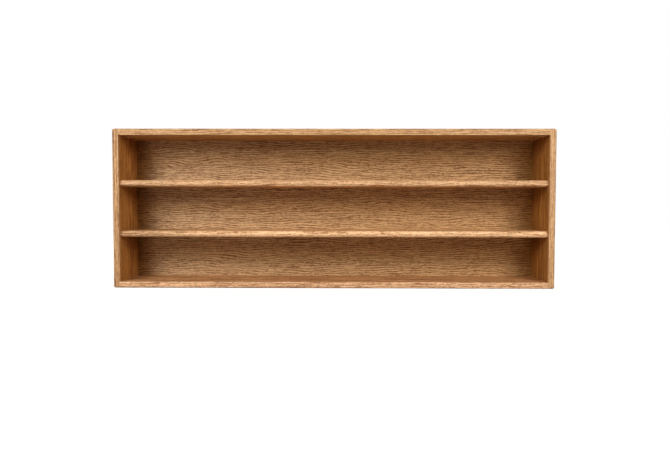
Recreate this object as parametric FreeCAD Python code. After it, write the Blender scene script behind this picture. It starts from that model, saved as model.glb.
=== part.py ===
import FreeCAD, Part
import math
import os

# Open oak storage cabinet with two fixed shelves, in millimetres.
# X runs along the width, the open front faces -Y and Z is up.
# The origin lies under the middle of the case, on the surface that it stands on.

Vector = FreeCAD.Vector

# Case
case_width = 1320.8
case_height = 476.25
case_depth = 171.45
board_thickness = 19.05
outer_round = 6.35       # radius of the case's outer front and end arrises
inner_ease = 0.8         # radius of the sanded arrises round the opening

# Shelves, from the bottom up
shelf_names = ["lower_shelf", "upper_shelf"]
shelf_thickness = 19.05
shelf_setback = 10.0     # from the case's front plane to the tip of the bullnose
housing_depth = 6.35     # how far a shelf's end goes into the side
shoulder_flat = 3.2      # from the end of the bullnose to the front of the tongue
glue_line = 0.05

# Back panel, seated in a step cut all round the rear of the case
panel_thickness = 6.35
seat_width = 12.7
panel_play = 0.5

# Dowels that join the top and bottom boards to the sides
dowels_per_corner = 3
dowel_radius = 4.0
dowel_ribs = 12
dowel_rib_height = 0.4
dowel_chamfer = 1.0      # along the dowel and across it, at both ends
dowel_in_board = 24.0
dowel_in_side = 12.0
dowel_end_room = 1.5
dowel_front_inset = 30.0
dowel_rear_inset = 40.0

# Countersunk screws through the back panel
screws_along_case = 4
screws_along_shelf = 3
screws_up_side = 1
screw_length = 25.4
screw_head_radius = 3.5
screw_shank_radius = 1.75
screw_below_face = 0.2
screw_play = 0.05
screw_end_inset = 45.0

same_place = 1e-6        # coordinates that differ by less than this are equal

# Places that follow from the sizes above
front = -case_depth / 2
rear = case_depth / 2
inner_half = case_width / 2 - board_thickness
bay_floor = board_thickness
bay_ceiling = case_height - board_thickness
bottom_middle = board_thickness / 2
top_middle = case_height - board_thickness / 2
panel_front = rear - panel_thickness
bay_height = (bay_ceiling - bay_floor - len(shelf_names) * shelf_thickness) / (len(shelf_names) + 1)
nose_tip = front + shelf_setback
tongue_front = nose_tip + shelf_thickness / 2 + shoulder_flat


def box(x_range, y_range, z_range):
    """A block between two values on each axis."""
    low = Vector(x_range[0], y_range[0], z_range[0])
    high = Vector(x_range[1], y_range[1], z_range[1])
    size = high - low
    return Part.makeBox(size.x, size.y, size.z, low)


def mirrored(shape):
    """The same shape at the other end of the case."""
    return shape.mirror(Vector(0, 0, 0), Vector(1, 0, 0))


def edges_at(shape, **place):
    """The edges that lie at the given coordinates all along, such as y=front, z=case_height."""
    found = []
    for edge in shape.Edges:
        ends = [vertex.Point for vertex in edge.Vertexes]
        gaps = [abs(getattr(end, axis) - value) for end in ends for axis, value in place.items()]
        if max(gaps) < same_place:
            found.append(edge)
    return found


def evenly_spaced(first, last, count):
    """Places from first to last, both included, or the one place midway between them."""
    if count == 1:
        return [(first + last) / 2]
    return [first + (last - first) * step / (count - 1) for step in range(count)]


def shelf_bottom(level):
    """Height of a shelf's underside, with level 0 for the lowest shelf."""
    return bay_floor + (level + 1) * bay_height + level * shelf_thickness


# Screws, their countersunk holes in the panel and their pilot holes in the boards

def screw(x, z):
    """A countersunk screw at x, z that points to the front, its head just under the rear face."""
    head_face = rear - screw_below_face
    cone_end = head_face - (screw_head_radius - screw_shank_radius)
    end = head_face - screw_length
    outline = [
        Vector(0, head_face, 0),
        Vector(screw_head_radius, head_face, 0),
        Vector(screw_shank_radius, cone_end, 0),
        Vector(screw_shank_radius, end, 0),
        Vector(0, end, 0),
    ]
    half_section = Part.Face(Part.makePolygon(outline + outline[:1]))
    solid = half_section.revolve(Vector(0, 0, 0), Vector(0, 1, 0), 360)
    solid.translate(Vector(x, 0, z))
    return solid


def pilot_hole(x, z):
    """A round hole for a screw's shank, from the rear face to just past its end."""
    depth = screw_below_face + screw_length + screw_play
    return Part.makeCylinder(screw_shank_radius + screw_play, depth, Vector(x, rear, z), Vector(0, -1, 0))


def countersink(x, z):
    """The cone that a screw's head sits in, at 45 degrees like the head."""
    shank = screw_shank_radius + screw_play
    mouth = screw_head_radius + screw_play + screw_below_face
    return Part.makeCone(mouth, shank, mouth - shank, Vector(x, rear, z), Vector(0, -1, 0))


def screw_places():
    """Centres of all the screws: along the top and bottom, up the sides and along each shelf."""
    seat_middle = seat_width / 2
    reach = inner_half - screw_end_inset
    places = []
    for x in evenly_spaced(-reach, reach, screws_along_case):
        places.append((x, bay_floor - seat_middle))
        places.append((x, bay_ceiling + seat_middle))
    lowest = bay_floor + bay_height / 2
    highest = bay_ceiling - bay_height / 2
    for z in evenly_spaced(lowest, highest, screws_up_side):
        places.append((-inner_half - seat_middle, z))
        places.append((inner_half + seat_middle, z))
    for level in range(len(shelf_names)):
        middle = shelf_bottom(level) + shelf_thickness / 2
        for x in evenly_spaced(-reach, reach, screws_along_shelf):
            places.append((x, middle))
    return places


# Dowels and their holes, at each right-hand corner

def dowel_places():
    """Distances along the depth at which each corner has a dowel."""
    return evenly_spaced(front + dowel_front_inset, rear - dowel_rear_inset, dowels_per_corner)


def ribbed_outline(x, y, z, largest_radius):
    """The ribbed section of a dowel at x, with the tips of its ribs at the largest radius."""
    groove_share = 1 - dowel_rib_height / dowel_radius
    corners = []
    for step in range(2 * dowel_ribs):
        angle = math.pi * step / dowel_ribs
        radius = largest_radius * (groove_share if step % 2 else 1)
        corners.append(Vector(x, y + radius * math.cos(angle), z + radius * math.sin(angle)))
    return Part.makePolygon(corners + corners[:1])


def ribbed_dowel(y, z):
    """A dowel along X with chamfered ends, in the end board and the side, whose grooves hold the glue."""
    start = inner_half - dowel_in_board
    end = inner_half + dowel_in_side
    tip_radius = dowel_radius - dowel_chamfer
    sections = [
        ribbed_outline(start, y, z, tip_radius),
        ribbed_outline(start + dowel_chamfer, y, z, dowel_radius),
        ribbed_outline(end - dowel_chamfer, y, z, dowel_radius),
        ribbed_outline(end, y, z, tip_radius),
    ]
    return Part.makeLoft(sections, True, True)


def dowel_hole(y, z):
    """The hole for a dowel, blind in both boards and a little deeper than the dowel at each end."""
    start = Vector(inner_half - dowel_in_board - dowel_end_room, y, z)
    length = dowel_in_board + dowel_in_side + 2 * dowel_end_room
    return Part.makeCylinder(dowel_radius + glue_line, length, start, Vector(1, 0, 0))


# Shelves and their housings share one outline, a board with a half-round front edge

def bullnosed(x_range, nose, back, z_range):
    """A board along X whose front edge is a full half round from its lower to its upper face."""
    low, high = z_range
    radius = (high - low) / 2
    start = x_range[0]
    lower_back = Vector(start, back, low)
    lower_front = Vector(start, nose + radius, low)
    tip = Vector(start, nose, low + radius)
    upper_front = Vector(start, nose + radius, high)
    upper_back = Vector(start, back, high)
    outline = Part.Wire([
        Part.makeLine(lower_back, lower_front),
        Part.Arc(lower_front, tip, upper_front).toShape(),
        Part.makeLine(upper_front, upper_back),
        Part.makeLine(upper_back, lower_back),
    ])
    return Part.Face(outline).extrude(Vector(x_range[1] - start, 0, 0))


def shelf(level):
    """A shelf with a tongue at each end, set back behind a shoulder that hides the housing."""
    low = shelf_bottom(level)
    high = low + shelf_thickness
    tongue_end = inner_half + housing_depth - glue_line
    board = bullnosed((-tongue_end, tongue_end), nose_tip, panel_front, (low, high))
    shoulder = box((inner_half, tongue_end), (nose_tip, tongue_front), (low, high))
    return board.cut([shoulder, mirrored(shoulder)])


def housing(level):
    """The groove for a shelf in the right-hand side, round at its stopped end as the cutter leaves it."""
    low = shelf_bottom(level) - glue_line
    high = shelf_bottom(level) + shelf_thickness + glue_line
    nose = tongue_front - (high - low) / 2
    return bullnosed((inner_half, inner_half + housing_depth), nose, rear, (low, high))


# Case boards

def eased_arris_waste():
    """What sanding takes off the right-hand side's inner front arris, between top and bottom boards."""
    corner = Vector(inner_half, front, bay_floor)
    on_front = corner + Vector(inner_ease, 0, 0)
    on_inside = corner + Vector(0, inner_ease, 0)
    sagitta = inner_ease * (1 - math.sqrt(0.5))
    between = corner + Vector(sagitta, sagitta, 0)
    outline = Part.Wire([
        Part.makeLine(corner, on_front),
        Part.Arc(on_front, between, on_inside).toShape(),
        Part.makeLine(on_inside, corner),
    ])
    return Part.Face(outline).extrude(Vector(0, 0, bay_ceiling - bay_floor))


def right_side_board():
    """Full-height side with rounded outer arrises, shelf housings, back seat and dowel holes."""
    outer = case_width / 2
    board = box((inner_half, outer), (front, rear), (0, case_height))
    arrises = edges_at(board, x=outer, y=front)
    for z in (0, case_height):
        arrises += edges_at(board, x=outer, z=z)
        arrises += edges_at(board, y=front, z=z)
    board = board.makeFillet(outer_round, arrises)
    seat_height = (bay_floor - seat_width, bay_ceiling + seat_width)
    seat = box((inner_half, inner_half + seat_width), (panel_front, rear), seat_height)
    housings = [housing(level) for level in range(len(shelf_names))]
    holes = [dowel_hole(y, z) for y in dowel_places() for z in (bottom_middle, top_middle)]
    return board.cut([seat, eased_arris_waste()] + housings + holes)


def end_board(inner_face, outer_face):
    """Top or bottom board, between the sides, with its front arrises rounded and its back seat."""
    inward = 1 if inner_face < outer_face else -1
    board = box((-inner_half, inner_half), (front, rear), sorted((inner_face, outer_face)))
    board = board.makeFillet(outer_round, edges_at(board, y=front, z=outer_face))
    board = board.makeFillet(inner_ease, edges_at(board, y=front, z=inner_face))
    seat_height = sorted((inner_face, inner_face + inward * seat_width))
    seat = box((-inner_half, inner_half), (panel_front, rear), seat_height)
    holes = [dowel_hole(y, (inner_face + outer_face) / 2) for y in dowel_places()]
    return board.cut([seat] + holes + [mirrored(hole) for hole in holes])


def back_panel():
    """Thin panel, flush with the rear of the case, with a little play in its seat."""
    reach = inner_half + seat_width - panel_play
    low = bay_floor - seat_width + panel_play
    high = bay_ceiling + seat_width - panel_play
    return box((-reach, reach), (panel_front, rear), (low, high))


# The finished pieces
pilot_holes = [pilot_hole(x, z) for x, z in screw_places()]
countersinks = [countersink(x, z) for x, z in screw_places()]
top_dowels = [ribbed_dowel(y, top_middle) for y in dowel_places()]
bottom_dowels = [ribbed_dowel(y, bottom_middle) for y in dowel_places()]

boards = {
    "top_board": end_board(bay_ceiling, case_height),
    "bottom_board": end_board(bay_floor, 0),
    "right_side": right_side_board(),
    "left_side": mirrored(right_side_board()),
    "back_panel": back_panel(),
}
for level, name in enumerate(shelf_names):
    boards[name] = shelf(level)

pieces = {name: [board.cut(pilot_holes + countersinks)] for name, board in boards.items()}
pieces["top_right_dowels"] = top_dowels
pieces["bottom_right_dowels"] = bottom_dowels
pieces["top_left_dowels"] = [mirrored(dowel) for dowel in top_dowels]
pieces["bottom_left_dowels"] = [mirrored(dowel) for dowel in bottom_dowels]
pieces["back_panel_screws"] = [screw(x, z) for x, z in screw_places()]

os.makedirs("parts", exist_ok=True)
for name, shapes in pieces.items():
    solids = [solid for shape in shapes for solid in shape.Solids]
    part = solids[0] if len(solids) == 1 else Part.makeCompound(solids)
    part.exportStep("parts/" + name + ".step")
    print(name, len(solids), "solids,", round(part.Volume / 1000, 2), "cm3")
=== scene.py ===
import math

import bmesh
import bpy
from mathutils import Matrix, Vector


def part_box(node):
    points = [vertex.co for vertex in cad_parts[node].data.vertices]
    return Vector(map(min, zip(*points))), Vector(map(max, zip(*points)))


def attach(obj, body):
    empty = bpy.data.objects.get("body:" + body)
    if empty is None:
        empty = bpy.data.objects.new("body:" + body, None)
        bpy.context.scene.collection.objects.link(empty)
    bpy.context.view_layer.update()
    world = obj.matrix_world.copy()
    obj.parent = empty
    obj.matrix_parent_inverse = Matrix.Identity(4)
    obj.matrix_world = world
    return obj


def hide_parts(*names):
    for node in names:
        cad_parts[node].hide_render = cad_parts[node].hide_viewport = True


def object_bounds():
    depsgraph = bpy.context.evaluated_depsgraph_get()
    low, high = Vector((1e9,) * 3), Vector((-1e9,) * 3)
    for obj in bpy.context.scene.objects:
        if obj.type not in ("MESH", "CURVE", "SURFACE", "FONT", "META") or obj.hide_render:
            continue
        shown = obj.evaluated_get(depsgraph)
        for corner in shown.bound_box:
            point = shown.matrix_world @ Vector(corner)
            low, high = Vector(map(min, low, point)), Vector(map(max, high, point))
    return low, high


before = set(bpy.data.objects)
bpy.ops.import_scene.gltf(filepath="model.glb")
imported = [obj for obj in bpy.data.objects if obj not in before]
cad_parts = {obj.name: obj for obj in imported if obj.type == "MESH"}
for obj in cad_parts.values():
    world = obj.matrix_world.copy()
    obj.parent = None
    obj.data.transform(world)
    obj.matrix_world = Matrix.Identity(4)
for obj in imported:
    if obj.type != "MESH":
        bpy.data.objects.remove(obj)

# Open oak storage cabinet, in metres. X runs along the width, the open front faces -Y and Z is up.

cad_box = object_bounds()
CASE_HALF = cad_box[1].x                        # half the case's width
CASE_FRONT = cad_box[0].y
CASE_TOP = cad_box[1].z
BOARD = CASE_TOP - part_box("top_board")[0].z     # thickness of the case's boards
BAY_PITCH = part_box("upper_shelf")[1].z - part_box("lower_shelf")[1].z     # height from one bay to the next
OPENING_HALF = CASE_HALF - BOARD                # half the width between the sides


# Camera, at the photograph's viewing angle

IMAGE_WIDTH = 670                       # pixels
FOCAL_LENGTH = 596.74                   # pixels
SENSOR_WIDTH = 36.0                     # millimetres
CAMERA_PLACE = Vector((0.02297, -1.86305, 0.24347))
CAMERA_YAW = math.radians(-0.5837)      # to the right of straight ahead
CAMERA_PITCH = math.radians(-2.2036)    # above the level
CAMERA_ROLL = math.radians(0.0897)      # anticlockwise
CAMERA_LEVEL = math.radians(90)         # from straight down, where a camera looks before it is turned


def make_camera():
    """The camera, turned in yaw, pitch and roll about its own place."""
    camera = bpy.data.objects.new("camera", bpy.data.cameras.new("camera"))
    camera.data.sensor_width = SENSOR_WIDTH
    camera.data.lens = FOCAL_LENGTH * SENSOR_WIDTH / IMAGE_WIDTH
    yaw = Matrix.Rotation(-CAMERA_YAW, 4, "Z")
    pitch = Matrix.Rotation(CAMERA_LEVEL + CAMERA_PITCH, 4, "X")
    roll = Matrix.Rotation(CAMERA_ROLL, 4, "Z")
    camera.matrix_world = Matrix.Translation(CAMERA_PLACE) @ yaw @ pitch @ roll
    bpy.context.scene.collection.objects.link(camera)
    bpy.context.scene.camera = camera


# Short calls that add nodes to one node tree and link them

class Graph:
    def __init__(self, tree):
        self.tree = tree

    def node(self, kind, inputs=None, **settings):
        """A node of one kind, with its settings, and its inputs given as values or as sockets."""
        made = self.tree.nodes.new(kind)
        for name, value in settings.items():
            setattr(made, name, value)
        for name, value in (inputs or {}).items():
            self.feed(made.inputs[name], value)
        return made

    def feed(self, socket, value):
        """Gives a socket a value, or links it to another node's output."""
        if isinstance(value, bpy.types.NodeSocket):
            self.tree.links.new(value, socket)
        else:
            socket.default_value = value

    def maths(self, operation, *values):
        """A number worked out from other numbers."""
        made = self.node("ShaderNodeMath", operation=operation)
        for number, value in enumerate(values):
            self.feed(made.inputs[number], value)
        return made.outputs[0]

    def vector(self, operation, *values):
        """A vector worked out from other vectors, or a vector's length."""
        made = self.node("ShaderNodeVectorMath", operation=operation)
        for number, value in enumerate(values):
            self.feed(made.inputs[number], value)
        return made.outputs["Value"] if operation == "LENGTH" else made.outputs["Vector"]

    def total(self, first, *others):
        """The sum of numbers."""
        for value in others:
            first = self.maths("ADD", first, value)
        return first

    def product(self, first, *others):
        """The product of numbers."""
        for value in others:
            first = self.maths("MULTIPLY", first, value)
        return first

    def noise(self, place, size, detail=2.0, roughness=0.5, seed=0.0):
        """Noise from 0 to 1 whose lumps have the given size along each axis."""
        stretched = self.vector("ADD", self.vector("DIVIDE", place, size), (seed, seed, seed))
        made = self.node("ShaderNodeTexNoise", {"Vector": stretched, "Scale": 1.0})
        made.inputs["Detail"].default_value = detail
        made.inputs["Roughness"].default_value = roughness
        return made.outputs[0]

    def span(self, value, low, high, to_low=0.0, to_high=1.0, smooth=True):
        """The value's place between low and high, held inside to_low and to_high."""
        kind = "SMOOTHSTEP" if smooth else "LINEAR"
        made = self.node("ShaderNodeMapRange", {"Value": value}, interpolation_type=kind)
        for name, number in (("From Min", low), ("From Max", high), ("To Min", to_low), ("To Max", to_high)):
            self.feed(made.inputs[name], number)
        return made.outputs[0]

    def band(self, value, start, full, end, gone):
        """1 from full to end, fading to 0 at start and at gone."""
        return self.product(self.span(value, start, full), self.span(value, end, gone, 1.0, 0.0))

    def blend(self, share, first, second, how="MIX"):
        """Two colours, mixed by a share from 0 to 1. Sockets share their names, so they go by number."""
        made = self.node("ShaderNodeMix", data_type="RGBA", blend_type=how)
        for number, value in ((0, share), (6, first), (7, second)):
            self.feed(made.inputs[number], value)
        return made.outputs[2]

    def tinted(self, share, colour, tint):
        """The colour, multiplied by the tint where share is 1."""
        return self.blend(share, colour, self.blend(1.0, colour, (*tint, 1.0), "MULTIPLY"))

    def split(self, vector):
        """The three parts of a vector."""
        return tuple(self.node("ShaderNodeSeparateXYZ", {"Vector": vector}).outputs)

    def join(self, x, y, z):
        """A vector of three parts."""
        made = self.node("ShaderNodeCombineXYZ")
        for number, value in enumerate((x, y, z)):
            self.feed(made.inputs[number], value)
        return made.outputs[0]

    def around(self, value, gain):
        """Noise from 0 to 1 as a change around 0, as strong as gain."""
        return self.product(self.maths("SUBTRACT", value, 0.5), gain)


def seen(red, green, blue):
    """A colour as the eye sees it, each part from 0 to 255, in the renderer's own linear numbers."""
    parts = []
    for part in (red, green, blue):
        share = part / 255
        parts.append(share / 12.92 if share <= 0.04045 else ((share + 0.055) / 1.055) ** 2.4)
    return (*parts, 1.0)


def new_material(name):
    """A material with one shader, its node graph and the place of the shaded point on the object."""
    material = bpy.data.materials.new(name)
    material.use_nodes = True
    graph = Graph(material.node_tree)
    shader = material.node_tree.nodes["Principled BSDF"]
    place = graph.node("ShaderNodeTexCoord").outputs["Object"]
    return material, graph, shader, place


def give_surface(graph, shader, colour, roughness, relief):
    """Gives a shader its colour, its roughness and its relief in metres."""
    graph.feed(shader.inputs["Base Color"], colour)
    graph.feed(shader.inputs["Roughness"], roughness)
    bump = graph.node("ShaderNodeBump", {"Height": relief, "Strength": 1.0, "Distance": 1.0})
    graph.feed(shader.inputs["Normal"], bump.outputs["Normal"])


# Wood, as the boards' oak and the veneer share it

# A size is along the grain, then across it both ways. A gain is how far a pattern moves the wood's tone,
# which is 0 in the darkest wood and 1 in the palest. A seed keeps a noise apart from the others.
PORE_SIZE = (0.0105, 0.0007, 0.0007)        # room that each open pore has
FIBRE_SIZE = (0.020, 0.0005, 0.0005)
FIBRE_BREAKING = 0.6                        # how ragged the fibres are
LINE_BREAK_SIZE = (0.036, 0.006, 0.006)     # room over which growth lines keep their strength
LINE_BREAK_SEED = 7.5
LINE_STRENGTH = 0.35                        # a growth line's strength on average
LINE_BREAK_GAIN = 1.5                       # how far that varies, past 0 where a line swaps sides
SPRING_EDGE = (-0.35, 0.05)                 # a growth line's values between which spring wood ends
LACQUER_SHINE = 0.30                        # a dull film, which mirrors less than glass does
LACQUER_ROUGHNESS = 0.56

# Length, thickness and gain of the light and dark streaks, the longest ones first
STREAKS = (
    (0.120, 0.0030, 0.60),
    (0.045, 0.0028, 0.75),
    (0.018, 0.0026, 0.85),
    (0.0075, 0.0022, 1.10),
)
STREAK_SEED = 0.5


def swayed(graph, place, size, reach):
    """The place, moved across the grain by up to about reach, as the fibres sway."""
    stretched = graph.vector("DIVIDE", place, size)
    sway = graph.node("ShaderNodeTexNoise", {"Vector": stretched, "Scale": 1.0, "Detail": 2.0})
    centred = graph.vector("SUBTRACT", sway.outputs["Color"], (0.5, 0.5, 0.5))
    return graph.vector("ADD", place, graph.vector("MULTIPLY", centred, (0.0, 2 * reach, 2 * reach)))


def cells(graph, place, size, full, gone):
    """Small stretched bodies scattered through the wood, 1 inside them and 0 between them."""
    stretched = graph.vector("DIVIDE", place, size)
    spots = graph.node("ShaderNodeTexVoronoi", {"Vector": stretched, "Scale": 1.0})
    return graph.span(spots.outputs["Distance"], full, gone, 1.0, 0.0)


def fibres(graph, place):
    """Fine fibres along the grain."""
    return graph.noise(place, FIBRE_SIZE, roughness=FIBRE_BREAKING)


def streaked(graph, place, contrast):
    """Streaks of every length laid over each other, as a change around 0."""
    layers = []
    for number, (length, thickness, gain) in enumerate(STREAKS):
        size = (length, thickness, thickness)
        layer = graph.noise(place, size, detail=0.0, seed=number + STREAK_SEED)
        layers.append(graph.around(layer, gain * contrast))
    return graph.total(*layers)


def growth_lines(graph, place, years):
    """Light and dark growth lines from about -1 to 1, which fade and swap sides along the grain."""
    wave = graph.maths("SINE", graph.product(years, 2 * math.pi))
    breaks = graph.noise(place, LINE_BREAK_SIZE, detail=0.0, seed=LINE_BREAK_SEED)
    return graph.product(wave, graph.total(LINE_STRENGTH, graph.around(breaks, LINE_BREAK_GAIN)))


def height_in_bay(graph, z):
    """How high a point is in its bay, as a share of the bays' pitch."""
    return graph.maths("FRACT", graph.maths("DIVIDE", graph.maths("SUBTRACT", z, BOARD), BAY_PITCH))


# Oak of the boards, a solid pattern that each board shows from where it was sawn out of the tree

OAK_PALE = seen(238, 192, 143)
OAK_DEEP = seen(156, 105, 62)
OAK_PORE = seen(112, 66, 34)
OAK_FLECK = seen(232, 188, 142)

OAK_SWAYS = (((0.55, 0.16, 0.16), 0.011), ((0.070, 0.014, 0.014), 0.0016))     # sizes and reaches
RING_WIDTH = 0.0045                 # a year's growth
RING_WANDER = 1.6                   # years by which the rings lie closer or wider
RING_WANDER_SIZE = (3.1, 1.0, 1.0)  # years over which they do
RING_GAIN = 0.9
OAK_FIBRE_GAIN = 0.6
OAK_ZONE_SIZE = (0.40, 0.11, 0.11)
OAK_ZONE_GAIN = 0.3
OAK_BAND_SIZE = (0.16, 0.032, 0.016)
OAK_BAND_GAIN = 0.35
OAK_PORE_EDGE = (0.16, 0.34)        # distances from a cell's middle between which it fades out
OAK_PORE_MIX = 0.50
SUMMER_PORES = 0.25                 # pores left in the summer wood
FULL_SPRING = 0.8                   # share of spring wood from which the pores are full
RAY_SIZE = (0.014, 0.0006, 0.010)   # along the grain, round the tree and out from its middle
RAY_EDGE = (0.12, 0.26)
RAY_MIX = 0.30
DASH_SIZE = (0.014, 0.0024, 0.0024)
DASH_EDGE = (0.76, 0.82)
DASH_MIX = 0.7
OAK_PORE_DEPTH = 0.00010
SPRING_DEPTH = 0.00002
OAK_FIBRE_HEIGHT = 0.00004
OAK_PORE_ROUGHNESS = 0.22           # added to the lacquer's
OAK_FIBRE_ROUGHNESS = 0.16
RUB_ROUGHNESS = -0.08


def tree_place(graph, place, grain, pith, start, run):
    """The shaded point in the tree: along the grain, then across from the line of the pith."""
    x, y, z = graph.split(place)
    along, side, other = {"X": (x, y, z), "Z": (z, y, x)}[grain]
    return graph.join(
        graph.total(graph.maths("DIVIDE", along, run), start),
        graph.maths("SUBTRACT", side, pith[0]),
        graph.maths("SUBTRACT", other, pith[1]),
    )


def from_pith(graph, tree):
    """How far the point lies from the line of the pith."""
    _, side, other = graph.split(tree)
    return graph.vector("LENGTH", graph.join(0.0, side, other))


def rings(graph, tree):
    """Growth lines round the pith, closer together in some years than in others."""
    years = graph.maths("DIVIDE", from_pith(graph, tree), RING_WIDTH)
    uneven = graph.noise(graph.join(years, 0.0, 0.0), RING_WANDER_SIZE, detail=1.0)
    return growth_lines(graph, tree, graph.total(years, graph.around(uneven, RING_WANDER)))


def rays(graph, tree, pith):
    """Flat bodies that run out from the pith."""
    along, side, other = graph.split(tree)
    turn = graph.maths("ARCTAN2", other, side)
    round_tree = graph.product(turn, math.hypot(*pith))
    return cells(graph, graph.join(along, round_tree, from_pith(graph, tree)), RAY_SIZE, *RAY_EDGE)


def ray_colour(graph, tree, grain):
    """Dark, as thin lines are, on a face that follows the rings, and pale, as flakes, on one across them."""
    _, side, other = graph.split(tree)
    outward = graph.vector("NORMALIZE", graph.join(0.0, side, other))
    _, out_side, out_other = graph.split(outward)
    x, y, z = graph.split(graph.node("ShaderNodeNewGeometry").outputs["Normal"])
    face_side, face_other = {"X": (y, z), "Z": (y, x)}[grain]
    alike = graph.total(graph.product(out_side, face_side), graph.product(out_other, face_other))
    along_rings = graph.maths("ABSOLUTE", alike)
    return graph.blend(along_rings, OAK_FLECK, OAK_PORE)


# How the boards' finish and use have changed their colour from place to place, with painted shade inside the
# bays

RUB_REACH = (0.0012, 0.0042)        # distances from an arris between which its rubbed paleness ends
RUB_PATCH_SIZE = (0.03, 0.03, 0.03)
RUB_PATCH_EDGE = (0.42, 0.62)
RUB_SHARE = 0.35
RUB_TONE = (1.20, 1.17, 1.14)

FLAT_EDGE_UNSHADED = 0.003                   # how far the painted shade inside the bays stays from a flat front edge
NOSE_TIP_UNSHADED = 0.021                   # and from the tip of a bullnose
INSIDE_FADE = 0.014
INSIDE_RAG_SIZE = (0.02, 0.02, 0.02)
INSIDE_RAG = 0.006
FACE_SLACK = 0.0003                 # how far outside the opening a point still counts as on an inner face

FINISH_STREAK_EDGE = (0.40, 0.62)   # values of the bands between which the finish is thickest
FINISH_STREAK = (0.80, 0.74, 0.66)
SHADED_BACK_DEPTH = (-0.02, 0.079)         # painted shade: the boards are darker towards the back, deep in the bays
BACK_SHADE_TONE = (0.84, 0.82, 0.78)
UNDER_SHELF_SHADE_HEIGHT = (0.45, 0.87)   # painted shade: high up in a bay, under each shelf, the sides are darker
UNDER_SHELF_SHADE_TONE = (0.80, 0.78, 0.76)
SOIL_ENDS = (-0.58, -0.35)          # between which the soil from hands at a shelf's left end fades out
SOIL_RAG_SIZE = (0.06, 0.03, 0.006)
SOIL_RAG = 0.12
SOIL_TONE = (0.64, 0.60, 0.55)


def arris_rub(graph, place, node_name):
    """How near the shaded point is to an arris of its board, 1 at the arris, broken up by noise."""
    corner_low, corner_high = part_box(node_name)
    depths = []
    for axis, value in enumerate(graph.split(place)):
        from_low = graph.maths("SUBTRACT", value, corner_low[axis])
        from_high = graph.maths("SUBTRACT", corner_high[axis], value)
        depths.append(graph.maths("MINIMUM", from_low, from_high))
    smaller = graph.maths("MINIMUM", depths[0], depths[1])
    larger = graph.maths("MAXIMUM", depths[0], depths[1])
    second = graph.maths("MAXIMUM", smaller, graph.maths("MINIMUM", larger, depths[2]))
    patches = graph.span(graph.noise(place, RUB_PATCH_SIZE, detail=3.0, roughness=0.6), *RUB_PATCH_EDGE)
    return graph.product(graph.span(second, *RUB_REACH, 1.0, 0.0), patches)


def inside_share(graph, place, unshaded_depth):
    """1 on the faces inside the bays, where shade is painted, 0 on the faces outside and as far back as the
    front edge is left unshaded.
    """
    x, y, z = graph.split(place)
    depth = graph.total(y, graph.around(graph.noise(place, INSIDE_RAG_SIZE), INSIDE_RAG))
    fade_start = CASE_FRONT + unshaded_depth
    return graph.product(
        graph.span(depth, fade_start, fade_start + INSIDE_FADE),
        graph.maths("LESS_THAN", graph.maths("ABSOLUTE", x), OPENING_HALF + FACE_SLACK),
        graph.maths("GREATER_THAN", z, BOARD - FACE_SLACK),
        graph.maths("LESS_THAN", z, CASE_TOP - BOARD + FACE_SLACK),
    )


def finished(graph, place, colour, grain, bands, inside_shade_tint, unshaded_depth, soil):
    """The colour of a board under its finish, with what use has done to it, and with painted shade inside the
    bays, towards the back and under each shelf.
    """
    x, y, z = graph.split(place)
    shaded_inside = inside_share(graph, place, unshaded_depth)
    # Painted shade: the inner faces of the bays are tinted darker and more orange
    colour = graph.tinted(shaded_inside, colour, inside_shade_tint)
    thickest = graph.product(shaded_inside, graph.span(bands, *FINISH_STREAK_EDGE))
    colour = graph.tinted(thickest, colour, FINISH_STREAK)
    # Painted shade: darker towards the back of the boards
    colour = graph.tinted(graph.span(y, *SHADED_BACK_DEPTH), colour, BACK_SHADE_TONE)
    # Painted shade on the inner faces of the sides, darker under each shelf
    if grain == "Z":
        under_shelf_shade = graph.product(shaded_inside, graph.span(height_in_bay(graph, z), *UNDER_SHELF_SHADE_HEIGHT))
        colour = graph.tinted(under_shelf_shade, colour, UNDER_SHELF_SHADE_TONE)
    ragged = graph.total(x, graph.around(graph.noise(place, SOIL_RAG_SIZE), SOIL_RAG))
    return graph.tinted(graph.span(ragged, *SOIL_ENDS, soil, 0.0), colour, SOIL_TONE)


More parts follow.
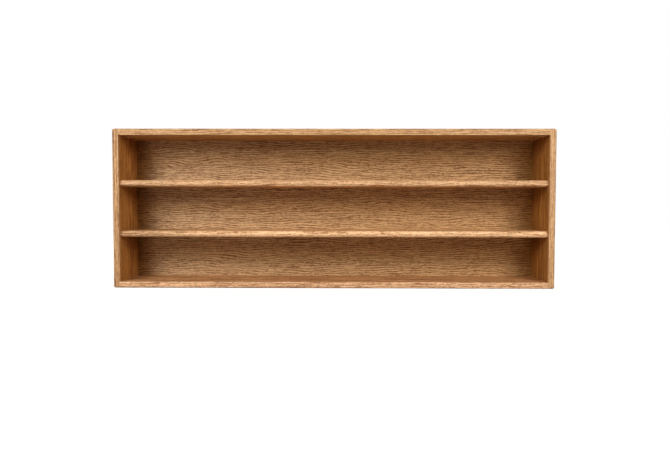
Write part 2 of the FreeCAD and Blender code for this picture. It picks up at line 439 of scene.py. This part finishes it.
def oak(node_name, grain, pith, start, pale, tint, inside_shade_tint,
        run=1.0, contrast=1.0, unshaded_depth=FLAT_EDGE_UNSHADED, soil=0.0):
    """Satin-lacquered solid oak for one board."""
    material, graph, shader, place = new_material(node_name + "_oak")
    tree = tree_place(graph, place, grain, pith, start, run)
    for size, reach in OAK_SWAYS:
        tree = swayed(graph, tree, size, reach)
    lines = rings(graph, tree)
    spring = graph.span(lines, *SPRING_EDGE, 1.0, 0.0)
    fibre = fibres(graph, tree)
    zones = graph.noise(tree, OAK_ZONE_SIZE)
    bands = graph.noise(tree, OAK_BAND_SIZE, detail=1.0)
    tone = graph.total(
        pale,
        streaked(graph, tree, contrast),
        graph.product(lines, RING_GAIN * contrast),
        graph.around(fibre, OAK_FIBRE_GAIN),
        graph.around(zones, OAK_ZONE_GAIN),
        graph.around(bands, OAK_BAND_GAIN),
    )
    colour = graph.blend(tone, OAK_DEEP, OAK_PALE)

    # Rays, then pores, which stand close together in the spring wood, and here and there a dark mineral dash
    ray = graph.product(rays(graph, tree, pith), RAY_MIX)
    colour = graph.blend(ray, colour, ray_colour(graph, tree, grain))
    pore = graph.product(cells(graph, tree, PORE_SIZE, *OAK_PORE_EDGE),
                         graph.span(spring, 0.0, FULL_SPRING, SUMMER_PORES, 1.0))
    colour = graph.blend(graph.product(pore, OAK_PORE_MIX), colour, OAK_PORE)
    dash = graph.span(graph.noise(tree, DASH_SIZE, detail=1.0), *DASH_EDGE)
    colour = graph.blend(graph.product(dash, DASH_MIX), colour, OAK_PORE)

    rub = arris_rub(graph, place, node_name)
    colour = graph.tinted(graph.product(rub, RUB_SHARE), colour, RUB_TONE)
    colour = graph.tinted(1.0, colour, tint)
    colour = finished(graph, place, colour, grain, bands, inside_shade_tint, unshaded_depth, soil)
    roughness = graph.total(
        LACQUER_ROUGHNESS,
        graph.product(pore, OAK_PORE_ROUGHNESS),
        graph.around(fibre, OAK_FIBRE_ROUGHNESS),
        graph.product(rub, RUB_ROUGHNESS),
    )
    relief = graph.total(
        graph.product(pore, -OAK_PORE_DEPTH),
        graph.product(spring, -SPRING_DEPTH),
        graph.around(fibre, OAK_FIBRE_HEIGHT),
    )
    give_surface(graph, shader, colour, roughness, relief)
    shader.inputs["Specular IOR Level"].default_value = LACQUER_SHINE
    return material


# Oak veneer on the back panel, peeled round the log, so that its figure is long, wavy and broken

VENEER_PALE = seen(221, 177, 123)
VENEER_DEEP = seen(129, 82, 39)
VENEER_PORE = seen(92, 54, 26)

VENEER_TONE = 0.58
VENEER_SWAY = ((0.30, 0.07, 1.0), 0.0045)       # size and reach
VENEER_LINE_PITCH = 0.0066
VENEER_WANDER = 3.4                 # lines by which they lie closer or wider
VENEER_WANDER_SIZE = (0.11, 0.045, 1.0)
VENEER_LINE_GAIN = 0.8
VENEER_FIBRE_GAIN = 0.7
VENEER_ZONE_SIZE = (0.42, 0.20, 1.0)
VENEER_ZONE_GAIN = 0.3
VENEER_PORE_EDGE = (0.18, 0.38)
VENEER_PORE_MIX = 0.60
VENEER_SUMMER_PORES = 0.4
VENEER_PORE_DEPTH = 0.00007
VENEER_FIBRE_HEIGHT = 0.00003
VENEER_PORE_ROUGHNESS = 0.2         # added to the lacquer's
VENEER_FIBRE_ROUGHNESS = 0.14

# The veneer's hue, greyer and paler on the left, where it is a painted sheen as well, to redder on the right,
# and how far its zones shift that
END_HUES_AND_SHEEN = ((1.02, 1.08, 1.16), (0.97, 0.94, 0.81))
END_PLACE = 0.8 * CASE_HALF
END_SHIFT = 0.5

# Painted shade beside the sides, in the back corners of the bays: which side, how far, which tint
CORNER_SHADES = (
    (-1, 0.073, (0.42, 0.27, 0.080)),
    (1, 0.050, (0.73, 0.64, 0.38)),
)
CORNER_RAG_SIZE = (0.03, 1.0, 0.008)
CORNER_RAG = 0.012

# Painted light and shade that every bay has, each with the heights in the bay between which it fades in and
# out
BAY_LIGHT_AND_SHADE = (
    ((-0.10, 0.00, 0.22, 0.38), (1.00, 1.02, 1.09)),        # painted light, paler and bluer low down
    ((0.34, 0.46, 0.54, 0.66), (0.92, 0.87, 0.80)),         # painted shade, a darker line half way up
)
# The lowest bay has painted shade at these heights above the floor, and painted light above them
LOW_BAY_SHADE_HEIGHTS = (0.040, 0.070, 0.072, 0.098)
LOW_BAY_SHADE_TONE = (0.84, 0.82, 0.78)
LOW_BAY_LIGHT_HEIGHTS = (0.086, 0.112)
LOW_BAY_LIGHT_TONE = (1.12, 1.18, 1.22)
BARE_BACK_TONE = (1.10, 1.12, 1.16)         # the rear face has no finish
BARE_BACK_ROUGHNESS = 0.2


def corner_shade_share(graph, x, z, side, reach):
    """1 in the corner between the back panel and one side, where shade is painted, 0 past the reach."""
    to_side = graph.maths("SUBTRACT", OPENING_HALF, graph.product(x, side))
    rag = graph.around(graph.noise(graph.join(x, 0.0, z), CORNER_RAG_SIZE), CORNER_RAG)
    return graph.span(graph.total(to_side, rag), 0.0, reach, 1.0, 0.0)


def panel_light_and_shade(graph, x, z, colour, inside):
    """The colour of the panel's front, with painted shade in the corners and painted light and shade by
    height in the bays.
    """
    # Painted shade in the corners beside the sides
    for side, reach, tint in CORNER_SHADES:
        corner = corner_shade_share(graph, x, z, side, reach)
        colour = graph.tinted(graph.product(inside, corner), colour, tint)
    # Painted shade part way up the lowest bay
    low = graph.band(z, *LOW_BAY_SHADE_HEIGHTS)
    colour = graph.tinted(graph.product(inside, low), colour, LOW_BAY_SHADE_TONE)
    # Painted light low in every bay and painted shade half way up
    for heights, tint in BAY_LIGHT_AND_SHADE:
        here = graph.band(height_in_bay(graph, z), *heights)
        colour = graph.tinted(graph.product(inside, here), colour, tint)
    # Painted light in the top of the lowest bay
    in_low_bay = graph.maths("LESS_THAN", z, BOARD + BAY_PITCH)
    low_bay_light = graph.product(graph.span(z, *LOW_BAY_LIGHT_HEIGHTS), in_low_bay)
    return graph.tinted(graph.product(inside, low_bay_light), colour, LOW_BAY_LIGHT_TONE)


def veneer(node_name):
    """Satin-lacquered oak veneer, with its grain along the panel."""
    material, graph, shader, place = new_material(node_name + "_veneer")
    x, y, z = graph.split(place)
    sheet = swayed(graph, graph.join(x, z, 0.0), *VENEER_SWAY)
    years = graph.maths("DIVIDE", graph.split(sheet)[1], VENEER_LINE_PITCH)
    wander = graph.noise(sheet, VENEER_WANDER_SIZE, detail=0.0)
    lines = growth_lines(graph, sheet, graph.total(years, graph.around(wander, VENEER_WANDER)))
    fibre = fibres(graph, sheet)
    zones = graph.noise(sheet, VENEER_ZONE_SIZE)
    tone = graph.total(
        VENEER_TONE,
        streaked(graph, sheet, contrast=1.0),
        graph.product(lines, VENEER_LINE_GAIN),
        graph.around(fibre, VENEER_FIBRE_GAIN),
        graph.around(zones, VENEER_ZONE_GAIN),
    )
    colour = graph.blend(tone, VENEER_DEEP, VENEER_PALE)
    pore = graph.product(cells(graph, sheet, PORE_SIZE, *VENEER_PORE_EDGE),
                         graph.span(lines, *SPRING_EDGE, 1.0, VENEER_SUMMER_PORES))
    colour = graph.blend(graph.product(pore, VENEER_PORE_MIX), colour, VENEER_PORE)

    # Painted sheen on the left, with the veneer's hue going from greyer there to redder on the right
    shifted = graph.total(x, graph.around(zones, END_SHIFT))
    redder = graph.span(shifted, -END_PLACE, END_PLACE, smooth=False)
    for share, tint in zip((graph.maths("SUBTRACT", 1.0, redder), redder), END_HUES_AND_SHEEN):
        colour = graph.tinted(share, colour, tint)
    front_face, rear_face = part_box(node_name)[0].y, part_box(node_name)[1].y
    rear = graph.maths("GREATER_THAN", y, (front_face + rear_face) / 2)
    # Painted light and shade on the panel's front
    colour = panel_light_and_shade(graph, x, z, colour, graph.maths("SUBTRACT", 1.0, rear))
    colour = graph.tinted(rear, colour, BARE_BACK_TONE)
    roughness = graph.total(
        LACQUER_ROUGHNESS,
        graph.product(pore, VENEER_PORE_ROUGHNESS),
        graph.around(fibre, VENEER_FIBRE_ROUGHNESS),
        graph.product(rear, BARE_BACK_ROUGHNESS),
    )
    relief = graph.total(
        graph.product(pore, -VENEER_PORE_DEPTH),
        graph.around(fibre, VENEER_FIBRE_HEIGHT),
    )
    give_surface(graph, shader, colour, roughness, relief)
    shader.inputs["Specular IOR Level"].default_value = LACQUER_SHINE
    return material


# Boards and panel

ARRIS_LENGTH = 0.015                # only straight arrises at least this long are eased
ARRIS_ANGLE = math.radians(60)
ARRIS_EASE = 0.0003
ARRIS_STEPS = 3
ARRIS_PROFILE = 0.5                 # round
SMOOTH_ANGLE = math.radians(35)
WELD_DISTANCE = 1e-6
FLAT_ANGLE = math.radians(0.5)


def add_piece(mesh, material, node_name):
    """A piece of the visual model in place of a node of the frame."""
    mesh.shade_smooth()
    mesh.set_sharp_from_angle(angle=SMOOTH_ANGLE)
    mesh.materials.append(material)
    piece = bpy.data.objects.new(mesh.name, mesh)
    bpy.context.scene.collection.objects.link(piece)
    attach(piece, "root")
    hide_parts(node_name)
    return piece


def welded_copy(node_name):
    """The mesh of a node of the frame, with its points joined where faces meet."""
    copy = bmesh.new()
    copy.from_mesh(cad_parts[node_name].data)
    bmesh.ops.remove_doubles(copy, verts=copy.verts, dist=WELD_DISTANCE)
    return copy


def add_board(node_name, material):
    """A board with its long sharp arrises eased as fine sandpaper leaves them."""
    copy = welded_copy(node_name)
    bmesh.ops.dissolve_limit(copy, angle_limit=FLAT_ANGLE, verts=copy.verts, edges=copy.edges)
    sharp = []
    for edge in copy.edges:
        if edge.is_manifold and edge.calc_length() > ARRIS_LENGTH and edge.calc_face_angle() > ARRIS_ANGLE:
            sharp.append(edge)
    bmesh.ops.bevel(copy, geom=sharp, offset=ARRIS_EASE, segments=ARRIS_STEPS, profile=ARRIS_PROFILE,
                    affect="EDGES", clamp_overlap=True)
    mesh = bpy.data.meshes.new(material.name)
    copy.to_mesh(mesh)
    copy.free()
    piece = add_piece(mesh, material, node_name)
    piece.modifiers.new("flat faces stay flat", "WEIGHTED_NORMAL").keep_sharp = True


# How each board was sawn: its grain's axis, where the pith lay on the two other axes and how far along the
# tree the board starts. Then how pale it is, its own tint and the tint of painted shade inside the bays.
# A run under 1 shortens its marks, contrast is its streaks' strength, and soil is its left end's.

BOARDS = {
    "top_board": dict(
        grain="X", pith=(0.030, CASE_TOP - 0.110), start=3.1, pale=0.54,
        tint=(0.98, 0.95, 0.84), inside_shade_tint=(1.00, 0.96, 0.72), contrast=0.90),
    "bottom_board": dict(
        grain="X", pith=(-0.015, 0.125), start=7.4, pale=0.58,
        tint=(1.28, 1.25, 1.31), inside_shade_tint=(0.83, 0.76, 0.61), contrast=1.40),
    "left_side": dict(
        grain="Z", pith=(0.020, -CASE_HALF + 0.105), start=1.7, pale=0.54,
        tint=(0.94, 0.88, 0.79), inside_shade_tint=(0.88, 0.68, 0.33), contrast=0.80),
    "right_side": dict(
        grain="Z", pith=(-0.010, CASE_HALF - 0.120), start=5.2, pale=0.56,
        tint=(1.03, 0.99, 0.90), inside_shade_tint=(0.68, 0.52, 0.24), contrast=0.70),
    "upper_shelf": dict(
        grain="X", pith=(0.010, 0.445), start=9.8, pale=0.60,
        tint=(1.20, 1.18, 1.17), inside_shade_tint=(0.92, 0.78, 0.50), run=0.6, unshaded_depth=NOSE_TIP_UNSHADED, soil=0.3),
    "lower_shelf": dict(
        grain="X", pith=(0.040, 0.075), start=12.5, pale=0.64,
        tint=(1.42, 1.44, 1.46), inside_shade_tint=(0.91, 0.91, 0.81), run=0.4, contrast=1.05,
        unshaded_depth=NOSE_TIP_UNSHADED, soil=1.0),
}


def make_boards():
    """The six boards and the back panel."""
    for node_name, cut in BOARDS.items():
        add_board(node_name, oak(node_name, **cut))
    add_board("back_panel", veneer("back_panel"))


# Screws of the back panel

RECESS_REACH = 0.56                 # length of an arm of the cross, as a share of the head's radius
RECESS_HALF_WIDTH = 0.13            # a share of the same
RECESS_FLOOR = 0.55                 # size of the recess's floor against its mouth
RECESS_DEPTH = 0.0014
EDGE_STEPS = 3                      # points along each edge of the recess
RIM = 0.00015                       # height of the head's upright edge, and its gap to the countersink
PLAIN_SHANK = 0.005                 # from the cone to the first thread
THREAD_PITCH = 0.0022
THREAD_STEPS = 4                    # rings of points in each turn
THREAD_ROOT = 0.70                  # of the shank's radius
POINT_LENGTH = 0.004
BLUNT = 0.08                        # radius left at the point, as a share of the shank's


def separate_solids(node_name):
    """The welded points of each solid in a node of the frame."""
    copy = welded_copy(node_name)
    waiting = set(copy.verts)
    solids = []
    for first in copy.verts:
        if first not in waiting:
            continue
        waiting.remove(first)
        reached = [first]
        for vertex in reached:
            for edge in vertex.link_edges:
                other = edge.other_vert(vertex)
                if other in waiting:
                    waiting.remove(other)
                    reached.append(other)
        solids.append([vertex.co.copy() for vertex in reached])
    copy.free()
    return solids


def recess_outline():
    """Points round a cross whose arms reach RECESS_REACH, EDGE_STEPS of them along each of its edges."""
    reach, half = RECESS_REACH, RECESS_HALF_WIDTH
    corners = []
    for quarter in range(4):
        for x, z in ((reach, -half), (reach, half), (half, half)):
            for _ in range(quarter):
                x, z = -z, x
            corners.append((x, z))
    outline = []
    for place, (x, z) in enumerate(corners):
        next_x, next_z = corners[(place + 1) % len(corners)]
        for step in range(EDGE_STEPS):
            share = step / EDGE_STEPS
            outline.append((x + (next_x - x) * share, z + (next_z - z) * share))
    return outline


CROSS = recess_outline()
TURNS = [math.atan2(z, x) for x, z in CROSS]


def round_ring(radius):
    """Points on a circle, each in line with one of the cross."""
    return [(radius * math.cos(turn), radius * math.sin(turn)) for turn in TURNS]


def thread_ring(depth, root_radius):
    """Points round the thread at one depth, where its crest has turned with the depth."""
    ring = []
    for turn in TURNS:
        phase = (depth / THREAD_PITCH - turn / (2 * math.pi)) % 1.0
        height = 1.0 - abs(2 * phase - 1.0)
        radius = root_radius * (THREAD_ROOT + (1.0 - THREAD_ROOT) * height)
        ring.append((radius * math.cos(turn), radius * math.sin(turn)))
    return ring


def screw_rings(head_radius, shank_radius, length):
    """Rings of points from the recess's floor to the screw's point, each with its depth below the face."""
    mouth = [(x * head_radius, z * head_radius) for x, z in CROSS]
    floor = [(x * RECESS_FLOOR, z * RECESS_FLOOR) for x, z in mouth]
    rings = [(RECESS_DEPTH, floor), (0.0, mouth)]
    cone_end = head_radius - shank_radius
    for depth, radius in ((0.0, head_radius - RIM), (RIM, head_radius - RIM), (cone_end, shank_radius)):
        rings.append((depth, round_ring(radius)))
    depth = cone_end + PLAIN_SHANK
    while depth < length:
        taper = min(1.0, (length - depth) / POINT_LENGTH + BLUNT)
        rings.append((depth, thread_ring(depth, shank_radius * taper)))
        depth += THREAD_PITCH / THREAD_STEPS
    return rings


def add_screw(shape, solid):
    """One countersunk wood screw in the place and size of a solid of the frame, with its head to the rear."""
    low = Vector([min(point[axis] for point in solid) for axis in range(3)])
    high = Vector([max(point[axis] for point in solid) for axis in range(3)])
    middle = (low + high) / 2
    tip = [point for point in solid if point.y - low.y < WELD_DISTANCE]
    shank_radius = max(math.hypot(point.x - middle.x, point.z - middle.z) for point in tip)
    loops = []
    for depth, ring in screw_rings((high.x - low.x) / 2, shank_radius, high.y - low.y):
        loops.append([shape.verts.new((middle.x + x, high.y - depth, middle.z + z)) for x, z in ring])
    floor_middle = shape.verts.new((middle.x, high.y - RECESS_DEPTH, middle.z))
    point = shape.verts.new((middle.x, low.y, middle.z))
    for place in range(len(TURNS)):
        after = (place + 1) % len(TURNS)
        for outer, inner in zip(loops, loops[1:]):
            shape.faces.new((outer[place], outer[after], inner[after], inner[place]))
        shape.faces.new((floor_middle, loops[0][after], loops[0][place]))
        shape.faces.new((point, loops[-1][place], loops[-1][after]))


# Steel of the screws

STEEL_DARK = seen(132, 129, 122)
STEEL_LIGHT = seen(196, 193, 184)
STEEL_TONE = 0.5                    # between the dark and the light
STEEL_ROUGHNESS = 0.42
MOTTLE_SIZE = (0.0011, 0.0011, 0.0011)
MOTTLE_GAIN = 0.9
MOTTLE_ROUGHNESS = 0.25
SCRATCH_SIZE = (0.0030, 0.0002, 0.00012)
SCRATCH_GAIN = 0.5
SCRATCH_ROUGHNESS = 0.2
SCRATCH_HEIGHT = 0.000012
RECESS_DARKENING_START = 0.0001                 # depth below the heads' faces from which the recess grows darker
RECESS_DARKENING_TONE = (0.30, 0.26, 0.22)


def steel(face):
    """Zinc-plated steel, dull and scuffed, darker the deeper it lies in the recess below the heads' face."""
    material, graph, shader, place = new_material("zinc_plated_steel")
    mottle = graph.noise(place, MOTTLE_SIZE, detail=3.0, roughness=0.6)
    scratch = graph.noise(place, SCRATCH_SIZE)
    tone = graph.total(STEEL_TONE, graph.around(mottle, MOTTLE_GAIN), graph.around(scratch, SCRATCH_GAIN))
    depth = graph.maths("SUBTRACT", face, graph.split(place)[1])
    # Darker the deeper the point lies in the recess
    recess_darkening = graph.span(depth, RECESS_DARKENING_START, RECESS_DEPTH)
    colour = graph.tinted(recess_darkening, graph.blend(tone, STEEL_DARK, STEEL_LIGHT), RECESS_DARKENING_TONE)
    roughness = graph.total(
        STEEL_ROUGHNESS,
        graph.around(mottle, MOTTLE_ROUGHNESS),
        graph.around(scratch, SCRATCH_ROUGHNESS),
    )
    give_surface(graph, shader, colour, roughness, graph.around(scratch, SCRATCH_HEIGHT))
    shader.inputs["Metallic"].default_value = 1.0
    return material


def make_screws():
    """The screws of the back panel, joined in one piece."""
    solids = separate_solids("back_panel_screws")
    shape = bmesh.new()
    for solid in solids:
        add_screw(shape, solid)
    bmesh.ops.recalc_face_normals(shape, faces=shape.faces)
    mesh = bpy.data.meshes.new("panel_screws")
    shape.to_mesh(mesh)
    shape.free()
    face = max(point.y for solid in solids for point in solid)
    add_piece(mesh, steel(face), "back_panel_screws")


# Dowels, which keep the frame's own shapes

BEECH_DEEP = seen(188, 146, 102)
BEECH_PALE = seen(220, 184, 142)
BEECH_FLECK = seen(134, 90, 56)
BEECH_TONE = 0.5                    # between the deep and the pale
BEECH_FIBRE_SIZE = (0.012, 0.0005, 0.0005)
BEECH_FIBRE_GAIN = 0.8
BEECH_ZONE_SIZE = (0.03, 0.004, 0.004)
BEECH_ZONE_GAIN = 0.6
FLECK_SIZE = (0.0024, 0.0004, 0.0004)
FLECK_EDGE = (0.10, 0.26)
FLECK_MIX = 0.5
BEECH_RELIEF = 0.00003
BEECH_ROUGHNESS = 0.68
BEECH_FIBRE_ROUGHNESS = 0.2


def beech():
    """Plain beech for the dowels, pale and close-grained with small dark flecks."""
    material, graph, shader, place = new_material("beech")
    fibre = graph.noise(place, BEECH_FIBRE_SIZE)
    zones = graph.noise(place, BEECH_ZONE_SIZE)
    fleck = cells(graph, place, FLECK_SIZE, *FLECK_EDGE)
    tone = graph.total(
        BEECH_TONE,
        graph.around(fibre, BEECH_FIBRE_GAIN),
        graph.around(zones, BEECH_ZONE_GAIN),
    )
    colour = graph.blend(tone, BEECH_DEEP, BEECH_PALE)
    colour = graph.blend(graph.product(fleck, FLECK_MIX), colour, BEECH_FLECK)
    roughness = graph.total(BEECH_ROUGHNESS, graph.around(fibre, BEECH_FIBRE_ROUGHNESS))
    relief = graph.total(graph.product(fleck, -BEECH_RELIEF), graph.around(fibre, BEECH_RELIEF))
    give_surface(graph, shader, colour, roughness, relief)
    return material


def finish_dowels():
    """Beech for the dowels of every corner."""
    dowel_beech = beech()
    for level in ("top", "bottom"):
        for side in ("left", "right"):
            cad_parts[f"{level}_{side}_dowels"].material_slots[0].material = dowel_beech


# Floor, world and lights

WHITE = (1, 1, 1, 1)
FLOOR_HALF = 6.0
FLOOR_SPECKLE_SIZE = (0.02, 0.02, 0.02)
FLOOR_DARK = (0.44, 0.44, 0.44, 1)
FLOOR_LIGHT = (0.46, 0.46, 0.46, 1)
FLOOR_ROUGHNESS = 0.9
FLOOR_GLOW = (0.76, 1.0)            # what the camera adds to the floor near the case and far from it
FLOOR_GLOW_REACH = (0.7, 2.4)       # distances from the case's middle between which it grows
FLOOR_MIRRORED = 0.2                # share of that glow which shiny surfaces see

WORLD_LIGHT = 0.02                  # light from all round
MIRRORED_FRONT = 0.12               # share of the white backdrop that shiny surfaces see on the camera's side
BACKDROP_EDGE = (-0.3, 0.2)         # direction in Y between which the backdrop grows to full strength

LAMP_DISTANCE = 2.6
CASE_MIDDLE = Vector((0, 0, CASE_TOP / 2))
# Azimuth, elevation, width, height and level. An azimuth of 0 is in front and grows to the right.
SOFTBOXES = {
    "left_softbox": (-38, 22.5, 0.85, 1.17, 0.54),
    "right_softbox": (38, 22.5, 0.85, 1.17, 0.54),
    "rear_softbox": (180, 40, 1.6, 1.0, 0.7),
}


def make_floor():
    """A pale floor that shows white where the lamps reach it and keeps the object's shadow."""
    corners = [(x * FLOOR_HALF, y * FLOOR_HALF, 0) for x, y in ((-1, -1), (1, -1), (1, 1), (-1, 1))]
    mesh = bpy.data.meshes.new("floor")
    mesh.from_pydata(corners, [], [(0, 1, 2, 3)])
    floor = bpy.data.objects.new("floor", mesh)
    bpy.context.scene.collection.objects.link(floor)
    material, graph, shader, place = new_material("floor")
    speckle = graph.noise(place, FLOOR_SPECKLE_SIZE, detail=3.0)
    graph.feed(shader.inputs["Base Color"], graph.blend(speckle, FLOOR_DARK, FLOOR_LIGHT))
    shader.inputs["Roughness"].default_value = FLOOR_ROUGHNESS
    shader.inputs["Specular IOR Level"].default_value = 0.0
    shader.inputs["Emission Color"].default_value = WHITE
    rays = graph.node("ShaderNodeLightPath").outputs
    mirrored = graph.product(rays["Is Glossy Ray"], FLOOR_MIRRORED)
    shown = graph.maths("MAXIMUM", rays["Is Camera Ray"], mirrored)
    glow = graph.span(graph.vector("LENGTH", place), *FLOOR_GLOW_REACH, *FLOOR_GLOW)
    graph.feed(shader.inputs["Emission Strength"], graph.product(shown, glow))
    mesh.materials.append(material)


def make_world():
    """White behind everything, and only a little light from all round."""
    world = bpy.data.worlds.new("world")
    bpy.context.scene.world = world
    world.use_nodes = True
    graph = Graph(world.node_tree)
    background = world.node_tree.nodes["Background"]
    background.inputs["Color"].default_value = WHITE
    rays = graph.node("ShaderNodeLightPath").outputs
    _, backward, _ = graph.split(graph.node("ShaderNodeTexCoord").outputs["Generated"])
    backdrop = graph.span(backward, *BACKDROP_EDGE, MIRRORED_FRONT, 1.0)
    mirrored = graph.maths("MAXIMUM", rays["Is Glossy Ray"], rays["Is Transmission Ray"])
    shown = graph.maths("MAXIMUM", rays["Is Camera Ray"], graph.product(mirrored, backdrop))
    graph.feed(background.inputs["Strength"], graph.span(shown, 0.0, 1.0, WORLD_LIGHT, 1.0, smooth=False))


def make_softbox(name, azimuth, elevation, width, height, level):
    """A soft lamp that points at the case. Its level is the light that it sends to a face turned to it."""
    lamp = bpy.data.lights.new(name, "AREA")
    lamp.shape = "RECTANGLE"
    lamp.size = width
    lamp.size_y = height
    lamp.energy = level * math.pi ** 2 * LAMP_DISTANCE ** 2
    softbox = bpy.data.objects.new(name, lamp)
    across, up = math.radians(azimuth), math.radians(elevation)
    flat = math.cos(up)
    towards = Vector((math.sin(across) * flat, -math.cos(across) * flat, math.sin(up)))
    softbox.location = CASE_MIDDLE + towards * LAMP_DISTANCE
    softbox.rotation_euler = towards.to_track_quat("Z", "Y").to_euler()
    bpy.context.scene.collection.objects.link(softbox)


make_camera()
make_boards()
make_screws()
finish_dowels()
make_floor()
make_world()
for name, settings in SOFTBOXES.items():
    make_softbox(name, *settings)

bpy.context.scene.view_settings.view_transform = "Standard"
